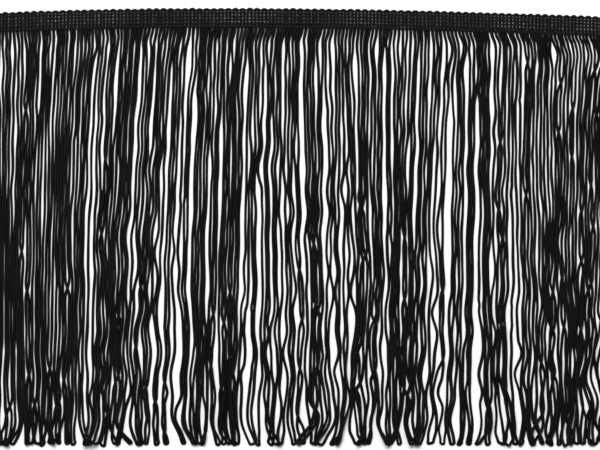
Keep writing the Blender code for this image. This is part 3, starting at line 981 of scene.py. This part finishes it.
buildSkirt(addRoots(lines))
print("skirt cords are built")

# the header: the same cord goes up through five chains of thread and turns at the scalloped edge
chain = {
    "ribs": 5,
    "firstRib": 3.5 * mm,
    "ribPitch": 2.35 * mm,
    "linkLength": 3.4 * mm,
    "linkWidth": 0.98 * mm,
    "linkSides": 4,
    "linkPoints": 10,
    "linkTaper": 0.3,
    "linkSlope": 0.2 * mm,      # a link's one end lies on the next link
    "endGap": 0.3 * mm,         # the chains stop this far inside the header's cut ends
    "unevenLinks": 0.1 * mm,
    "seed": 17,
    "thread": 0.6 * mm,
    "threadSides": 6,
    "height": 1.72 * mm,
    "backHeight": 0.27 * mm,
    "backThick": 0.46 * mm,
    "backSway": 0.35 * mm,
    "backInset": 0.4 * mm,
    "backRings": 4,             # for each strand, as with the edge's
    "edgeDepth": 1.45 * mm,
    "edgeWidth": 1.3 * mm,
    "edgeThick": 0.8 * mm,
    "edgeMiddle": 0.7 * mm,
    "edgeInset": 1.2 * mm,
    "edgeRings": 3,
}
# where the header is stretched a little, so that more floor shows through, in mm: middle and reach
loosePlaces = [(-167, 16), (-132, 10), (-40, 22), (44, 10), (148, 14), (200, 14)]


def looseness(x):
    return sum(np.exp(-(((x / mm - middle) / reach) ** 2)) for middle, reach in loosePlaces)


def ribDepth(rib):
    return chain["firstRib"] + rib * chain["ribPitch"]


def buildWeft():
    pairs = [(k, k + 1) for k in range(1, strandCount - 1, 2)]
    count = weft["levels"]
    topDepth = weft["turnDepth"] + weft["turnTopWidth"] / 2
    levels = np.linspace(weft["partingLine"], topDepth + weft["turnGap"], count)
    angles = math.pi * (np.arange(weft["turnSteps"]) + 1) / (weft["turnSteps"] + 1)
    draw = np.random.default_rng(weft["seed"])
    bows = draw.normal(0, weft["unevenLines"], (len(pairs), 2))
    stands = draw.normal(0, weft["unevenTurns"], len(pairs))
    stands = np.clip(stands, -weft["mostUneven"], weft["mostUneven"])
    arch = np.sin(np.linspace(0, math.pi, count))
    z = weft["middle"]
    paths = []
    for left, right in pairs:
        up = [(roots[left], bow(roots[left]) - depth, z) for depth in levels]
        middle = (roots[left] + roots[right]) / 2
        top = bow(middle) - weft["turnDepth"] - weft["turnTopWidth"] / 2
        swing = strandPitch / 2 * np.cos(angles)
        turn = [(middle - x, top + y, z) for x, y in zip(swing, weft["turnDepth"] * np.sin(angles))]
        back = [(roots[right], bow(roots[right]) - depth, z) for depth in levels[::-1]]
        paths.append(up + turn + back)
    paths = np.array(paths)
    paths[:, :count, 0] += bows[:, :1] * arch
    paths[:, -count:, 0] += bows[:, 1:] * arch
    paths[:, count:-count, 1] += stands[:, None]
    loose = np.clip(looseness(paths[..., 0]), 0, 1)
    width = weft["width"] + (weft["looseWidth"] - weft["width"]) * loose
    width = width + draw.normal(0, weft["unevenWidth"], width.shape)
    width[:, count - 1] = width[:, -count] = weft["turnWidth"]
    topWidth = weft["turnTopWidth"] - weft["turnWidth"]
    width[:, count:-count] = weft["turnWidth"] + topWidth * np.sin(angles)
    return seated(paths), width


def buildCutEnds():
    levels = np.linspace(weft["partingLine"], weft["cutDepth"], weft["levels"])
    ends = roots[[0, -1]]
    return seated([[(x, bow(x) - depth, weft["middle"]) for depth in levels] for x in ends])


def buildLinks(ribs):
    angles = math.tau * np.arange(chain["linkPoints"]) / chain["linkPoints"]
    draw = np.random.default_rng(chain["seed"])
    inside = headerLength / 2 - chain["endGap"]
    links = []
    for rib in ribs:
        for x in roots:
            depth = ribDepth(rib) + draw.normal(0, chain["unevenLinks"])
            lengthwise = np.clip(x + chain["linkLength"] / 2 * np.cos(angles), -inside, inside)
            taper = 1 - chain["linkTaper"] * np.cos(angles)
            crosswise = chain["linkWidth"] / 2 * np.sin(angles) * taper
            height = chain["height"] + chain["linkSlope"] * np.cos(angles)
            links.append(np.stack([lengthwise, bow(x) - depth + crosswise, height], axis=1))
    return seated(links)


def buildEdgeThread():
    # laid along the scalloped edge, behind the turns
    inside = headerLength / 2 - chain["edgeInset"]
    x = np.linspace(-inside, inside, chain["edgeRings"] * strandCount)
    return seated([np.stack([x, bow(x) - chain["edgeDepth"], np.full_like(x, chain["edgeMiddle"])], axis=1)])


def buildBackThreads():
    inside = headerLength / 2 - chain["backInset"]
    x = np.linspace(-inside, inside, chain["backRings"] * strandCount)
    sway = chain["backSway"] * np.sin(math.tau * x / (2 * strandPitch))
    z = np.full_like(x, chain["backHeight"])
    ribs = range(chain["ribs"])
    return seated([np.stack([x, bow(x) - ribDepth(rib) + sway, z], axis=1) for rib in ribs])


def cordOf(name, paths, width):
    return cordPiece(name, paths, width, weft["height"], weft["sides"], False, cordMaterial)


def threadOf(name, paths, wide, high):
    return cordPiece(name, paths, wide, high, chain["threadSides"], False, threadMaterial)


def chainsOf(name, ribs):
    thread = chain["thread"]
    return cordPiece(name, buildLinks(ribs), thread, thread, chain["linkSides"], True, threadMaterial)


weftPaths, weftWidth = buildWeft()
weftPiece = cordOf("headerWeft", weftPaths, weftWidth)
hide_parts("header_tape")
endsPiece = cordOf("headerCutEnds", buildCutEnds(), weft["width"])
chainsPiece = chainsOf("headerChains", range(chain["ribs"] - 1))
backPiece = threadOf("headerBackThreads", buildBackThreads(), chain["thread"], chain["backThick"])
edgePiece = threadOf("headerEdgeThread", buildEdgeThread(), chain["edgeWidth"], chain["edgeThick"])
rootChain = chainsOf("rootChain", [chain["ribs"] - 1])
print("header is built")
